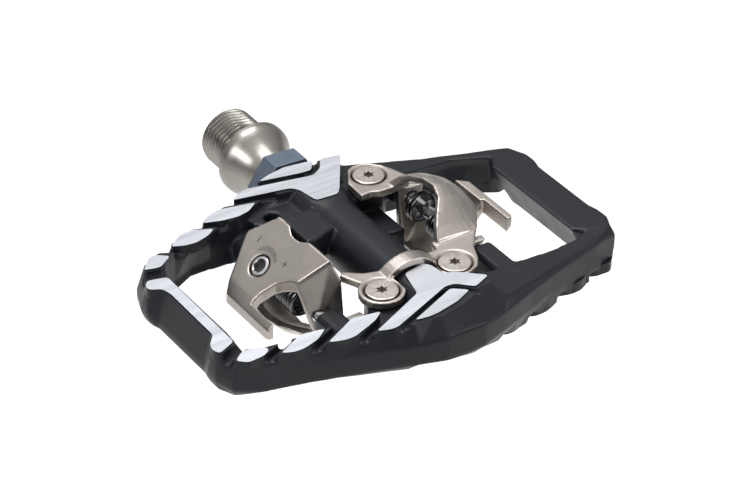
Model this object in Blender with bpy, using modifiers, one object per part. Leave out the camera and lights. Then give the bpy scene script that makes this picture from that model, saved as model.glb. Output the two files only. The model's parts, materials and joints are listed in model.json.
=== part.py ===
"""Clipless trail pedal with a binding on both sides, built as separate named parts at real size.

The spindle lies along Y with its crank thread toward +Y. Everything except the spindle group repeats after
half a turn about the spindle, so each binding piece has a top copy and a bottom copy. Lengths are written in
millimetres. A "station" is a distance along the spindle from the outboard claw screws, and the frame's
origin is on the spindle axis at station MID_STATION.
"""

import math

import bmesh
import bpy
from mathutils import Matrix, Vector

MM = 0.001
MID_STATION = 31.0
GAP = 0.3

# Body
DECK = 7.0
MOUNT_PLANE = 4.5
TUBE_RADIUS = 7.9
TUBE_WAIST = 6.9
TUBE_FLAT = 6.95
BORE_RADIUS = 5.8
BORE_END = -9.5
BAR_INNER = 41.5
SCREW_SPOTS = {1: (13.1, 39.3), 2: (9.65, 0.0), 3: (-9.65, 0.0)}
SCREW_HOLE_RADIUS = 1.9

# Spindle group
THREAD_RADIUS = 7.14
THREAD_PITCH = 1.27
THREAD_RIDGES = 8
FLANGE_RADIUS = 9.3
FLANGE_STATION = 68.67
THREAD_END = 80.9
SHAFT_RADIUS = 4.0
TAIL_RADIUS = 2.3
TAIL_END = -8.2
SLEEVE_RADIUS = BORE_RADIUS - GAP
LOCK_BOLT_RADIUS = 8.2
BALL_PITCH_RADIUS = 3.6
BALL_RADIUS = 0.95
BALLS = 10

# Binding
PLATE_TOP = 6.52
PLATE_BOTTOM = MOUNT_PLANE + GAP
SCREW_HEAD_RADIUS = 3.79
HOOD_SHEET = 1.7
PIN = (-20.5, -1.0)
PIN_RADIUS = 1.5
PIN_ENDS = (0.8, 38.2)
FACE_NORMAL = Vector((-0.63, 0.0, 0.7766))
BOLT_SPOT = (-25.5, 24.85, 4.4)
BOLT_HEAD_RADIUS = 2.4
SPRING_RADIUS = 3.4
SPRING_WIRE = 0.55
SPRINGS = {"outboard": (14.4, 21.6), "inboard": (27.7, 29.9)}

# Name: (colour, metallic, roughness)
FINISHES = {
    "body_coat": ((0.022, 0.024, 0.03), 0.35, 0.42),
    "spindle_steel": ((0.42, 0.4, 0.37), 1.0, 0.34),
    "blue_anodised": ((0.2, 0.25, 0.31), 0.9, 0.35),
    "claw_steel": ((0.45, 0.41, 0.38), 1.0, 0.42),
    "bright_steel": ((0.62, 0.62, 0.64), 1.0, 0.22),
    "spring_steel": ((0.12, 0.12, 0.125), 1.0, 0.3),
    "rubber": ((0.02, 0.02, 0.02), 0.0, 0.75),
    "resin": ((0.05, 0.05, 0.055), 0.0, 0.55),
}

HALF_TURN = Matrix.Rotation(math.pi, 4, "Y")


def clear_scene():
    for obj in list(bpy.data.objects):
        bpy.data.objects.remove(obj, do_unlink=True)


def make_collection(name):
    collection = bpy.data.collections.new(name)
    bpy.context.scene.collection.children.link(collection)
    return collection


def make_material(name):
    colour, metallic, roughness = FINISHES[name]
    material = bpy.data.materials.new(name)
    material.use_nodes = True
    shader = material.node_tree.nodes["Principled BSDF"]
    shader.inputs["Base Color"].default_value = (*colour, 1.0)
    shader.inputs["Metallic"].default_value = metallic
    shader.inputs["Roughness"].default_value = roughness
    return material


clear_scene()
PARTS = make_collection("clipless_pedal")
CUTTERS = make_collection("cutters")
MATERIALS = {name: make_material(name) for name in FINISHES}


def at(x, station, z):
    """The frame's point, in metres, for x and z in millimetres at a station along the spindle."""
    return Vector((x, station - MID_STATION, z)) * MM


def add_object(name, mesh, finish=None):
    """A part with its finish, or a hidden helper when it has none."""
    obj = bpy.data.objects.new(name, mesh)
    if finish is None:
        CUTTERS.objects.link(obj)
        obj.hide_render = True
        obj.display_type = "WIRE"
    else:
        PARTS.objects.link(obj)
        mesh.materials.append(MATERIALS[finish])
    return obj


def smooth(obj):
    obj.data.shade_smooth()
    obj.data.set_sharp_from_angle(angle=math.radians(35))
    return obj


def settle(obj):
    """Applies the object's modifiers, so that its mesh is the finished shape in world space."""
    bpy.context.view_layer.update()
    graph = bpy.context.evaluated_depsgraph_get()
    mesh = bpy.data.meshes.new_from_object(obj.evaluated_get(graph))
    mesh.transform(obj.matrix_world)
    shape = bmesh.new()
    shape.from_mesh(mesh)
    bmesh.ops.remove_doubles(shape, verts=shape.verts, dist=1e-7)
    bmesh.ops.recalc_face_normals(shape, faces=shape.faces)
    shape.to_mesh(mesh)
    shape.free()
    obj.modifiers.clear()
    bpy.data.objects.remove(obj, do_unlink=True)
    return mesh


def outline_mesh(outline, low, high, upright=False):
    """A flat outline drawn on plan as (x, station) and given height from low to high. Upright ones are drawn
    as (x, z) and run between two stations."""
    curve = bpy.data.curves.new("outline", "CURVE")
    curve.dimensions = "2D"
    curve.fill_mode = "BOTH"
    curve.extrude = (high - low) / 2 * MM
    spline = curve.splines.new("POLY")
    spline.points.add(len(outline) - 1)
    spline.use_cyclic_u = True
    for point, (across, along) in zip(spline.points, outline):
        point.co = (across * MM, along * MM, 0.0, 1.0)
    obj = bpy.data.objects.new("outline", curve)
    CUTTERS.objects.link(obj)
    if upright:
        obj.matrix_world = Matrix.Translation(at(0, (low + high) / 2, 0)) @ Matrix.Rotation(math.pi / 2, 4, "X")
    else:
        obj.matrix_world = Matrix.Translation(at(0, 0, (low + high) / 2))
    return settle(obj)


def turned_mesh(profile, steps=24, closed=False):
    """A profile of (radius, station) turned about the spindle axis. It runs from the inboard end to the
    outboard end on its outer side."""
    shape = bmesh.new()
    verts = [shape.verts.new((radius * MM, 0, (station - MID_STATION) * MM)) for radius, station in profile]
    for first, second in zip(verts, verts[1:]):
        shape.edges.new((first, second))
    if closed:
        shape.edges.new((verts[-1], verts[0]))
    mesh = bpy.data.meshes.new("profile")
    shape.to_mesh(mesh)
    shape.free()
    obj = bpy.data.objects.new("turned", mesh)
    CUTTERS.objects.link(obj)
    obj.rotation_euler = (-math.pi / 2, 0, 0)
    screw = obj.modifiers.new("turn", "SCREW")
    screw.steps = steps
    screw.render_steps = steps
    screw.use_merge_vertices = True
    screw.merge_threshold = 1e-6
    return settle(obj)


def ring_mesh(outer, inner, inboard, outboard, steps=24):
    profile = [(outer, inboard), (outer, outboard), (inner, outboard), (inner, inboard)]
    return turned_mesh(profile, steps, closed=True)


def moved(mesh, matrix):
    mesh.transform(matrix)
    return mesh


def cylinder_mesh(radius, start, end, sides=20, end_radius=None):
    """A cylinder or cone between two points given in metres."""
    axis = end - start
    shape = bmesh.new()
    bmesh.ops.create_cone(
        shape,
        cap_ends=True,
        segments=sides,
        radius1=radius * MM,
        radius2=(radius if end_radius is None else end_radius) * MM,
        depth=axis.length,
        matrix=Matrix.Translation((start + end) / 2) @ axis.to_track_quat("Z", "X").to_matrix().to_4x4(),
    )
    mesh = bpy.data.meshes.new("cylinder")
    shape.to_mesh(mesh)
    shape.free()
    return mesh


def box_mesh(low, high):
    """A box between two corners given as (x, station, z)."""
    first, second = at(*low), at(*high)
    shape = bmesh.new()
    bmesh.ops.create_cube(shape, size=1.0)
    for vert in shape.verts:
        vert.co = (first + second) / 2 + Vector(a * b for a, b in zip(vert.co, second - first))
    mesh = bpy.data.meshes.new("box")
    shape.to_mesh(mesh)
    shape.free()
    return mesh


def hull_mesh(points):
    """The convex solid around points given as (x, station, z)."""
    shape = bmesh.new()
    for point in points:
        shape.verts.new(at(*point))
    bmesh.ops.convex_hull(shape, input=shape.verts)
    bmesh.ops.recalc_face_normals(shape, faces=shape.faces)
    mesh = bpy.data.meshes.new("hull")
    shape.to_mesh(mesh)
    shape.free()
    return mesh


def combine(mesh, other, operation):
    """The Boolean of two meshes in world space, as a new mesh."""
    target = add_object("target", mesh)
    tool = add_object("tool", other)
    boolean = target.modifiers.new("boolean", "BOOLEAN")
    boolean.operation = operation
    boolean.object = tool
    result = settle(target)
    bpy.data.objects.remove(tool, do_unlink=True)
    return result


def union(mesh, *others):
    for other in others:
        mesh = combine(mesh, other, "UNION")
    return mesh


def cut(mesh, *others):
    for other in others:
        mesh = combine(mesh, other, "DIFFERENCE")
    return mesh


def add_part(name, mesh, finish, origin=(0, MID_STATION, 0)):
    """A finished part whose object origin lies on its joint axis."""
    centre = at(*origin)
    mesh.transform(Matrix.Translation(-centre))
    obj = add_object(name, mesh, finish)
    obj.location = centre
    return smooth(obj)


def add_both(name, make, finish, origin=(0, MID_STATION, 0)):
    """The top copy of a binding part and, after half a turn about the spindle, its bottom copy."""
    x, station, z = origin
    add_part(name.format("top"), make(), finish, origin)
    add_part(name.format("bottom"), moved(make(), HALF_TURN), finish, (-x, station, -z))


# ---------------------------------------------------------------- body


def low_deck(x):
    """Height of the lowered half of the cage at a distance x from the spindle."""
    return DECK if x <= 11.4 else 4.6 - min(1.6, (x - 12.6) * 0.08)


def arm_section(x, outer_deck, ridge, outer_low, inner_low, crease, inner_deck, crease_height):
    """Seven corners of the cage on one side of the spindle, from the outer deck edge round to the inner one."""
    half_wall = 3.2 - 0.7 * min(1.0, x / 13.0)
    low = -low_deck(x)
    return [
        (-x, outer_deck, DECK),
        (-x, ridge, half_wall),
        (-x, ridge, -half_wall),
        (-x, outer_low, low),
        (-x, inner_low, low),
        (-x, crease, crease_height),
        (-x, inner_deck, DECK),
    ]


def bar_section(station, outer_deck, ridge, ridge_height, inner_deck=46.7):
    """Seven corners of the end bar at a station."""
    return [
        (-outer_deck, station, DECK),
        (-ridge, station, ridge_height + 0.4),
        (-ridge, station, ridge_height - 1.2),
        (-ridge + 0.9, station, -3.2),
        (-BAR_INNER, station, -3.2),
        (-BAR_INNER - 2.4, station, 1.8),
        (-inner_deck, station, DECK),
    ]


def inboard_arm():
    stations = [
        # x, outer deck, ridge, outer low, inner low, crease, inner deck
        (0.0, 51.6, 52.0, 51.6, 42.5, 42.5, 42.5),
        (5.0, 51.7, 51.9, 50.6, 42.0, 42.5, 43.0),
        (11.4, 49.7, 49.8, 48.4, 42.0, 42.5, 44.0),
        (12.6, 49.3, 49.4, 48.0, 41.0, 42.0, 44.0),
        (17.5, 47.3, 47.5, 46.3, 39.0, 40.5, 42.0),
        (21.0, 46.1, 46.3, 45.2, 38.4, 39.4, 40.4),
        (26.0, 44.4, 44.5, 43.6, 38.4, 39.4, 40.2),
        (30.0, 42.9, 43.0, 42.1, 38.4, 39.2, 37.8),
        (35.0, 41.3, 41.5, 40.6, 38.3, 38.9, 36.9),
        (40.0, 39.2, 39.5, 38.6, 36.0, 36.8, 36.4),
        (44.0, 37.9, 38.2, 37.2, 34.0, 34.6, 34.4),
    ]
    return [arm_section(*row, crease_height=-1.0 if row[0] > 12 else 0.0) for row in stations]


def outboard_arm():
    stations = [
        (44.0, -7.3, -7.2, -5.2, -2.2, -2.6, -3.9),
        (40.0, -8.3, -8.2, -6.3, -3.6, -3.9, -4.5),
        (34.0, -9.6, -9.8, -8.4, -4.0, -4.2, -5.0),
        (28.0, -10.9, -11.5, -10.4, -4.0, -4.6, -5.6),
        (21.0, -12.5, -13.8, -12.6, -4.0, -5.0, -6.1),
        (16.0, -13.5, -15.6, -14.0, -4.4, -5.4, -6.8),
        (12.6, -14.0, -16.7, -15.0, -5.0, -5.6, -9.0),
        (11.4, -14.1, -17.1, -9.2, -5.0, -5.6, -8.8),
        (5.0, -14.3, -18.8, -11.6, -5.0, -5.2, -6.1),
        (0.0, -13.3, -18.9, -13.3, -5.0, -5.0, -5.0),
    ]
    return [arm_section(*row, crease_height=-1.0 if row[0] > 12 else 0.0) for row in stations]


def end_bar():
    corner_in = [
        (-48.0, 35.8, DECK),
        (-50.4, 36.0, 1.4),
        (-50.4, 36.0, -1.0),
        (-49.6, 35.2, -3.2),
        (-42.6, 32.0, -3.2),
        (-44.0, 32.6, 1.8),
        (-46.0, 32.6, DECK),
    ]
    corner_out = [
        (-49.4, -5.6, DECK),
        (-50.6, -5.0, 1.4),
        (-50.6, -5.0, -1.0),
        (-49.8, -3.9, -3.2),
        (-42.4, -0.8, -3.2),
        (-44.2, -1.2, 1.8),
        (-46.2, -2.8, DECK),
    ]
    bosses_in = [bar_section(30.6, 50.6, 52.5, 0.6, 46.5), bar_section(27.8, 51.8, 52.5, 0.2, 46.5)]
    bosses_out = [bar_section(2.8, 51.5, 52.4, 0.2, 46.7), bar_section(-0.4, 51.4, 52.4, 0.6, 46.7)]
    straight = [bar_section(25.2, 49.1, 51.3, -1.4), bar_section(5.8, 49.1, 51.3, -1.4)]
    return [corner_in, *bosses_in, *straight, *bosses_out, corner_out]


def cage_mesh():
    """A closed ring lofted through the sections of one half and the same sections turned by half a turn."""
    half = [*inboard_arm(), *end_bar(), *outboard_arm()]
    swap = (3, 2, 1, 0, 6, 5, 4)
    turned = [[(-section[k][0], section[k][1], -section[k][2]) for k in swap] for section in half[1:-1]]
    sections = half + turned[::-1]
    shape = bmesh.new()
    rings = [[shape.verts.new(at(*point)) for point in section] for section in sections]
    corners = len(rings[0])
    for k, ring in enumerate(rings):
        following = rings[(k + 1) % len(rings)]
        for c in range(corners):
            d = (c + 1) % corners
            shape.faces.new((ring[c], ring[d], following[d], following[c]))
    bmesh.ops.triangulate(shape, faces=shape.faces)
    bmesh.ops.recalc_face_normals(shape, faces=shape.faces)
    mesh = bpy.data.meshes.new("cage")
    shape.to_mesh(mesh)
    shape.free()
    return mesh


def tube_mesh():
    profile = [
        (0, 49.0),
        (TUBE_RADIUS, 49.0),
        (TUBE_RADIUS, 37.0),
        (TUBE_WAIST, 33.5),
        (TUBE_WAIST, 2.0),
        (TUBE_RADIUS, 0.6),
        (TUBE_RADIUS, -12.0),
        (0, -12.0),
    ]
    tube = turned_mesh(profile, steps=32)
    above = box_mesh((-20, -20, TUBE_FLAT), (20, 60, 20))
    return cut(tube, above, moved(above.copy(), HALF_TURN))


def pad_meshes():
    """Webs between the tube and the cage that carry the claw plates and the claw pins."""
    outboard = [(-14.6, -11), (-14.6, -2), (-12, 3.6), (-8, 5), (8, 5), (12, 3.6), (14.6, -2), (14.6, -11)]
    inboard = [(-18, 44), (-18, 39), (-14.5, 35.2), (-6, 34.6), (6, 34.6), (14.5, 35.2), (18, 39), (18, 44)]
    webs = [outline_mesh(outboard, -MOUNT_PLANE, MOUNT_PLANE), outline_mesh(inboard, -MOUNT_PLANE, MOUNT_PLANE)]
    for side in (1, -1):
        x, z = PIN[0] * side, PIN[1] * side
        for inner, outer in ((5.4, -8.0), (35.6, 43.0)):
            lug = [(x - 3.0, z - 2.0), (x - 2.0, z - 3.0), (x + 2.0, z - 3.0), (x + 3.0, z - 2.0)]
            lug += [(x + 3.0, z + 2.0), (x + 2.0, z + 3.0), (x - 2.0, z + 3.0), (x - 3.0, z + 2.0)]
            webs.append(outline_mesh(lug, min(inner, outer), max(inner, outer), upright=True))
        stop = [(-13.3, 24.2), (-10.8, 24.2), (-5, 26), (-5, 35.5), (-13.3, 35.5)]
        webs.append(outline_mesh([(p * side, q) for p, q in stop], *sorted((0.0, 6.4 * side))))
    return webs


def pocket_meshes():
    """Space cut above the mount plane for the front claw's ears."""
    inboard = [(6.4, 34), (22, 34), (22, 52), (12.6, 52), (11.9, 49.6), (6.4, 40.6)]
    outboard = [(6.4, 10), (6.4, -3.4), (7.1, -3.8), (11.8, -8.6), (13.0, -9.4), (24, -6), (24, 10)]
    round_ear = [(-6.4, 10), (-18, 10), (-18, -9.4), (-16.6, -11.1), (-6.4, -6.6)]
    return [outline_mesh(outline, MOUNT_PLANE + 0.02, 12) for outline in (inboard, outboard, round_ear)]


def notch_mesh(start, end, width, floor):
    """A rounded diagonal groove cut in the deck between two plan points."""
    first, second = at(*start, floor + width / 2), at(*end, floor + width / 2)
    across = (second - first).cross(Vector((0, 0, 1))).normalized() * width / 2 * MM
    rise = Vector((0, 0, DECK * MM))
    shape = bmesh.new()
    for centre in (first, second):
        for k in range(7):
            angle = math.pi * k / 6
            arm = across * math.cos(angle) - Vector((0, 0, width / 2 * MM)) * math.sin(angle)
            shape.verts.new(centre + arm)
        shape.verts.new(centre + across + rise)
        shape.verts.new(centre - across + rise)
    bmesh.ops.convex_hull(shape, input=shape.verts)
    bmesh.ops.recalc_face_normals(shape, faces=shape.faces)
    mesh = bpy.data.meshes.new("notch")
    shape.to_mesh(mesh)
    shape.free()
    return mesh


# Each groove: plan points at its two ends, width, depth.
NOTCHES = [
    ((-53.0, 32.7), (-44.0, 30.6), 3.4, 2.4),
    ((-43.4, 39.9), (-34.5, 35.0), 2.6, 2.2),
    ((-34.0, 44.1), (-24.0, 39.9), 2.3, 2.2),
    ((-23.0, 47.2), (-9.0, 43.7), 1.9, 2.2),
    ((-12.5, 49.6), (1.2, 46.8), 1.4, 1.3),
    ((1.2, 46.8), (3.9, 47.5), 1.4, 1.3),
    ((3.9, 47.5), (6.4, 52.4), 1.4, 1.3),
    ((-53.4, -4.2), (-44.2, 0.2), 3.2, 2.4),
    ((-47.0, -9.0), (-36.5, -4.6), 1.9, 2.2),
    ((-35.6, -11.1), (-23.0, -5.5), 2.0, 2.2),
    ((-25.0, -13.6), (-10.0, -7.0), 1.9, 2.2),
    ((-14.0, -14.4), (1.8, -8.0), 1.3, 1.3),
    ((1.8, -8.0), (3.8, -8.2), 1.3, 1.3),
    ((3.8, -8.2), (7.4, -12.6), 1.3, 1.3),
]


def body_mesh():
    mesh = union(cage_mesh(), tube_mesh(), *pad_meshes())
    mesh = cut(mesh, cylinder_mesh(BORE_RADIUS, at(0, BORE_END, 0), at(0, 60, 0), 32))
    for pocket in pocket_meshes():
        mesh = cut(mesh, pocket, moved(pocket.copy(), HALF_TURN))
    for start, end, width, depth in NOTCHES:
        groove = notch_mesh(start, end, width, DECK - depth)
        mesh = cut(mesh, groove, moved(groove.copy(), HALF_TURN))
    for x, station in SCREW_SPOTS.values():
        for side in (1, -1):
            hole = at(x * side, station, -12), at(x * side, station, 12)
            if side == -1 and station == 0.0:
                continue
            mesh = cut(mesh, cylinder_mesh(SCREW_HOLE_RADIUS, *hole, 12))
    for side in (1, -1):
        x, z = PIN[0] * side, PIN[1] * side
        mesh = cut(mesh, cylinder_mesh(PIN_RADIUS + GAP, at(x, PIN_ENDS[0] - GAP, z), at(x, PIN_ENDS[1] + GAP, z), 16))
    return mesh


# ---------------------------------------------------------------- spindle group


def spindle_mesh():
    profile = [(0, THREAD_END), (THREAD_RADIUS - 0.8, THREAD_END)]
    for ridge in range(THREAD_RIDGES):
        crest = THREAD_END - 0.3 - THREAD_PITCH * (ridge + 0.25)
        profile += [(THREAD_RADIUS, crest), (THREAD_RADIUS - 0.75, crest - THREAD_PITCH * 0.5)]
    profile += [
        (THREAD_RADIUS - 0.75, FLANGE_STATION),
        (FLANGE_RADIUS, FLANGE_STATION),
        (FLANGE_RADIUS, FLANGE_STATION - 1.6),
        (8.9, FLANGE_STATION - 2.6),
        (7.6, FLANGE_STATION - 4.4),
        (6.4, FLANGE_STATION - 6.6),
        (5.7, FLANGE_STATION - 9.2),
        (5.6, 58.3),
        (SHAFT_RADIUS, 58.3),
        (SHAFT_RADIUS, 24.0),
        (TAIL_RADIUS, 19.5),
        (TAIL_RADIUS, TAIL_END),
        (0, TAIL_END),
    ]
    socket = cylinder_mesh(8.0 / math.sqrt(3), at(0, THREAD_END - 6.0, 0), at(0, THREAD_END + 1, 0), 6)
    return cut(turned_mesh(profile, 28), socket)


def lock_bolt_mesh():
    mesh = cylinder_mesh(LOCK_BOLT_RADIUS, at(0, 52.35, 0), at(0, 57.8, 0), 6)
    mesh = moved(mesh, Matrix.Rotation(math.radians(4.0), 4, "Y"))
    mesh = union(mesh, cylinder_mesh(SLEEVE_RADIUS, at(0, 44.5, 0), at(0, 53.0, 0), 32))
    bore = cylinder_mesh(SHAFT_RADIUS + GAP, at(0, 40, 0), at(0, 60, 0), 24)
    mouth = cylinder_mesh(SLEEVE_RADIUS, at(0, 55.8, 0), at(0, 60, 0), 24)
    return cut(mesh, bore, mouth)


def bearing_cup_mesh():
    race = BALL_PITCH_RADIUS + BALL_RADIUS + GAP
    profile = [
        (SLEEVE_RADIUS, 19.5),
        (SLEEVE_RADIUS, -0.5),
        (race, -0.5),
        (race, 2.6),
        (3.2, 3.2),
        (3.2, 15.4),
        (race, 16.0),
        (race, 19.5),
    ]
    return turned_mesh(profile, closed=True)


def ball_ring_mesh(station):
    """Balls held apart by a thin retainer ring, which makes them one solid."""
    shape = bmesh.new()
    retainer = BALL_PITCH_RADIUS
    for k in range(20):
        angle = 2 * math.pi * k / 20
        for m in range(6):
            turn = 2 * math.pi * m / 6
            reach = retainer + 0.4 * math.cos(turn)
            shape.verts.new(at(reach * math.cos(angle), station + 0.4 * math.sin(turn), reach * math.sin(angle)))
    shape.verts.ensure_lookup_table()
    for k in range(20):
        for m in range(6):
            a, b = k * 6 + m, k * 6 + (m + 1) % 6
            c, d = (a + 6) % 120, (b + 6) % 120
            shape.faces.new([shape.verts[i] for i in (a, b, d, c)])
    bmesh.ops.recalc_face_normals(shape, faces=shape.faces)
    mesh = bpy.data.meshes.new("retainer")
    shape.to_mesh(mesh)
    shape.free()
    for ball in range(BALLS):
        angle = 2 * math.pi * (ball + 0.37) / BALLS
        shape = bmesh.new()
        centre = at(BALL_PITCH_RADIUS * math.cos(angle), station, BALL_PITCH_RADIUS * math.sin(angle))
        place = Matrix.Translation(centre) @ Matrix.Rotation(-angle, 4, "Y")
        bmesh.ops.create_uvsphere(shape, u_segments=8, v_segments=5, radius=BALL_RADIUS * MM, matrix=place)
        sphere = bpy.data.meshes.new("ball")
        shape.to_mesh(sphere)
        shape.free()
        mesh = union(mesh, sphere)
    return mesh


def cone_mesh():
    profile = [(4.3, -2.2), (4.3, -4.2), (TAIL_RADIUS + GAP, -4.2), (TAIL_RADIUS + GAP, -0.3), (2.9, -0.3)]
    return turned_mesh(profile, closed=True)


def lock_nut_mesh():
    nut = cylinder_mesh(4.5, at(0, -7.6, 0), at(0, -4.6, 0), 6)
    return cut(nut, cylinder_mesh(TAIL_RADIUS + GAP, at(0, -9, 0), at(0, -3, 0), 16))


def build_spindle_group():
    add_part("spindle", spindle_mesh(), "spindle_steel")
    add_part("lock_bolt", lock_bolt_mesh(), "blue_anodised")
    add_part("axle_seal", ring_mesh(SLEEVE_RADIUS - GAP, SHAFT_RADIUS + 0.15, 57.7, 56.1), "rubber")
    add_part("axle_bush", ring_mesh(SLEEVE_RADIUS, SHAFT_RADIUS + 0.15, 44.1, 30.0), "resin")
    add_part("bearing_cup", bearing_cup_mesh(), "bright_steel")
    add_part("ball_ring_inner", ball_ring_mesh(17.6), "bright_steel")
    add_part("ball_ring_outer", ball_ring_mesh(1.0), "bright_steel")
    add_part("bearing_cone", cone_mesh(), "bright_steel")
    add_part("lock_nut", lock_nut_mesh(), "bright_steel")


# ---------------------------------------------------------------- front claw


def bridge_mesh():
    """The strap that arches over the axle tube between the two outboard ears."""
    inner, outer = 7.35, 9.1
    arc = [math.radians(38 + 104 * k / 12) for k in range(13)]
    outline = [(outer * math.cos(a), outer * math.sin(a)) for a in arc]
    outline += [(inner * math.cos(a), inner * math.sin(a)) for a in reversed(arc)]
    return outline_mesh(outline, 2.5, 6.2, upright=True)


def hood_mesh():
    """The bent-up hood that takes the front of the cleat: a curved sheet, open toward the spindle."""
    rows = [
        # station, front rim x, rim height, back x, back height
        (6.8, 9.8, 5.4, 20.2, 5.4),
        (7.6, 10.4, 7.4, 21.2, 6.6),
        (9.6, 11.4, 9.4, 22.6, 6.6),
        (12.4, 13.4, 11.0, 24.6, 6.5),
        (16.0, 16.2, 12.2, 26.4, 6.4),
        (20.0, 17.6, 12.7, 27.2, 6.3),
        (24.0, 17.4, 12.5, 27.0, 6.3),
        (28.0, 16.4, 11.4, 25.4, 6.4),
        (31.0, 15.6, 9.6, 23.2, 6.4),
        (33.2, 15.2, 7.4, 20.6, 6.4),
        (34.4, 15.0, 5.4, 18.6, 5.4),
    ]
    across = 6
    middle, base = 20.6, rows[0][2]
    shape = bmesh.new()
    skins = ([], [])
    for station, front, crown, back, low in rows:
        width = back - front
        lines = ([], [])
        for k in range(across + 1):
            part = k / across
            height = low + (crown - low) * math.cos(part * math.pi / 2) ** 0.75
            inner = middle + (station - middle) * 0.862, base + (height - base) * 0.78
            lines[0].append(shape.verts.new(at(front + width * part, station, height)))
            lines[1].append(shape.verts.new(at(front + (width - HOOD_SHEET) * part, *inner)))
        skins[0].append(lines[0])
        skins[1].append(lines[1])
    last = len(rows) - 1
    for first in range(last):
        for k in range(across):
            for skin in skins:
                corners = (skin[first][k], skin[first + 1][k], skin[first + 1][k + 1], skin[first][k + 1])
                shape.faces.new(corners)
        for k in (0, across):
            edge = [skins[0][first][k], skins[0][first + 1][k], skins[1][first + 1][k], skins[1][first][k]]
            shape.faces.new(edge)
    for end in (0, last):
        for k in range(across):
            edge = [skins[0][end][k], skins[0][end][k + 1], skins[1][end][k + 1], skins[1][end][k]]
            shape.faces.new(edge)
    bmesh.ops.triangulate(shape, faces=shape.faces)
    bmesh.ops.recalc_face_normals(shape, faces=shape.faces)
    mesh = bpy.data.meshes.new("hood")
    shape.to_mesh(mesh)
    shape.free()
    return mesh


def front_claw_mesh():
    inboard_ear = [(8.9, 41.5), (10.2, 43.6), (12.1, 44.5), (15.3, 43.8), (18.0, 41.0), (19.2, 38.0), (20.2, 35.0)]
    inboard_ear += [(19.4, 32.2), (14.6, 31.8), (11.3, 32.1), (9.5, 33.0), (6.9, 32.9), (7.1, 38.9)]
    outboard_ear = [(6.0, 6.2), (6.0, 2.5), (4.6, -1.0), (6.4, -3.8), (9.6, -5.3), (13.1, -3.9), (14.9, -1.6)]
    outboard_ear += [(16.7, 2.6), (20.5, 7.4), (20.5, 8.9), (9.5, 8.9), (9.0, 6.2)]
    round_ear = [(-9.65 + 5.3 * math.cos(a), 5.3 * math.sin(a)) for a in (math.tau * k / 20 for k in range(20))]
    link = [(-5.8, 2.6), (-5.8, 6.2), (-9.5, 7.4), (-13.2, 10.4), (-14.4, 9.4), (-12.0, 4.0), (-9.6, 0.0)]
    mesh = outline_mesh(inboard_ear, PLATE_BOTTOM, PLATE_TOP)
    mesh = union(mesh, hood_mesh(), outline_mesh(outboard_ear, PLATE_BOTTOM, PLATE_TOP))
    mesh = union(mesh, bridge_mesh(), outline_mesh(round_ear, PLATE_BOTTOM, PLATE_TOP))
    mesh = union(mesh, outline_mesh(link, PLATE_BOTTOM, PLATE_TOP))
    mesh = cut(mesh, ring_mesh(TUBE_RADIUS + GAP, 0.5, 2.2, -12.0, 32), ring_mesh(TUBE_WAIST + 0.4, 0.5, 34, 2.0, 32))
    mesh = cut(mesh, ring_mesh(TUBE_RADIUS + GAP, 0.5, 50.0, 33.8, 32))
    for x, station in SCREW_SPOTS.values():
        sink = cylinder_mesh(2.2, at(x, station, 4.0), at(x, station, 7.6), 24, end_radius=5.4)
        mesh = cut(mesh, sink)
    return mesh


def screw_mesh(x, station):
    """A countersunk screw with a six-lobed socket, flush with the plate."""
    top, seat = PLATE_TOP, PLATE_TOP - 1.75
    head = cylinder_mesh(1.9, at(x, station, seat), at(x, station, top), 24, end_radius=SCREW_HEAD_RADIUS)
    shank = cylinder_mesh(1.5, at(x, station, 0.4), at(x, station, seat + 0.2), 12)
    socket = cylinder_mesh(1.2, at(x, station, top - 1.2), at(x, station, top + 1), 6)
    return cut(union(head, shank), socket)


def build_front_claws():
    add_both("front_claw_{}", front_claw_mesh, "claw_steel")
    for number, (x, station) in SCREW_SPOTS.items():
        name = "claw_screw_{}_" + str(number)
        add_both(name, lambda x=x, station=station: screw_mesh(x, station), "claw_steel", (x, station, 0))


# ---------------------------------------------------------------- rear claw


def claw_wall(outer, inner_shift):
    """A side wall between the claw face and the pin, from four corners on its outer side."""
    return hull_mesh(list(outer) + [(x, station + inner_shift, z) for x, station, z in outer])


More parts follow.
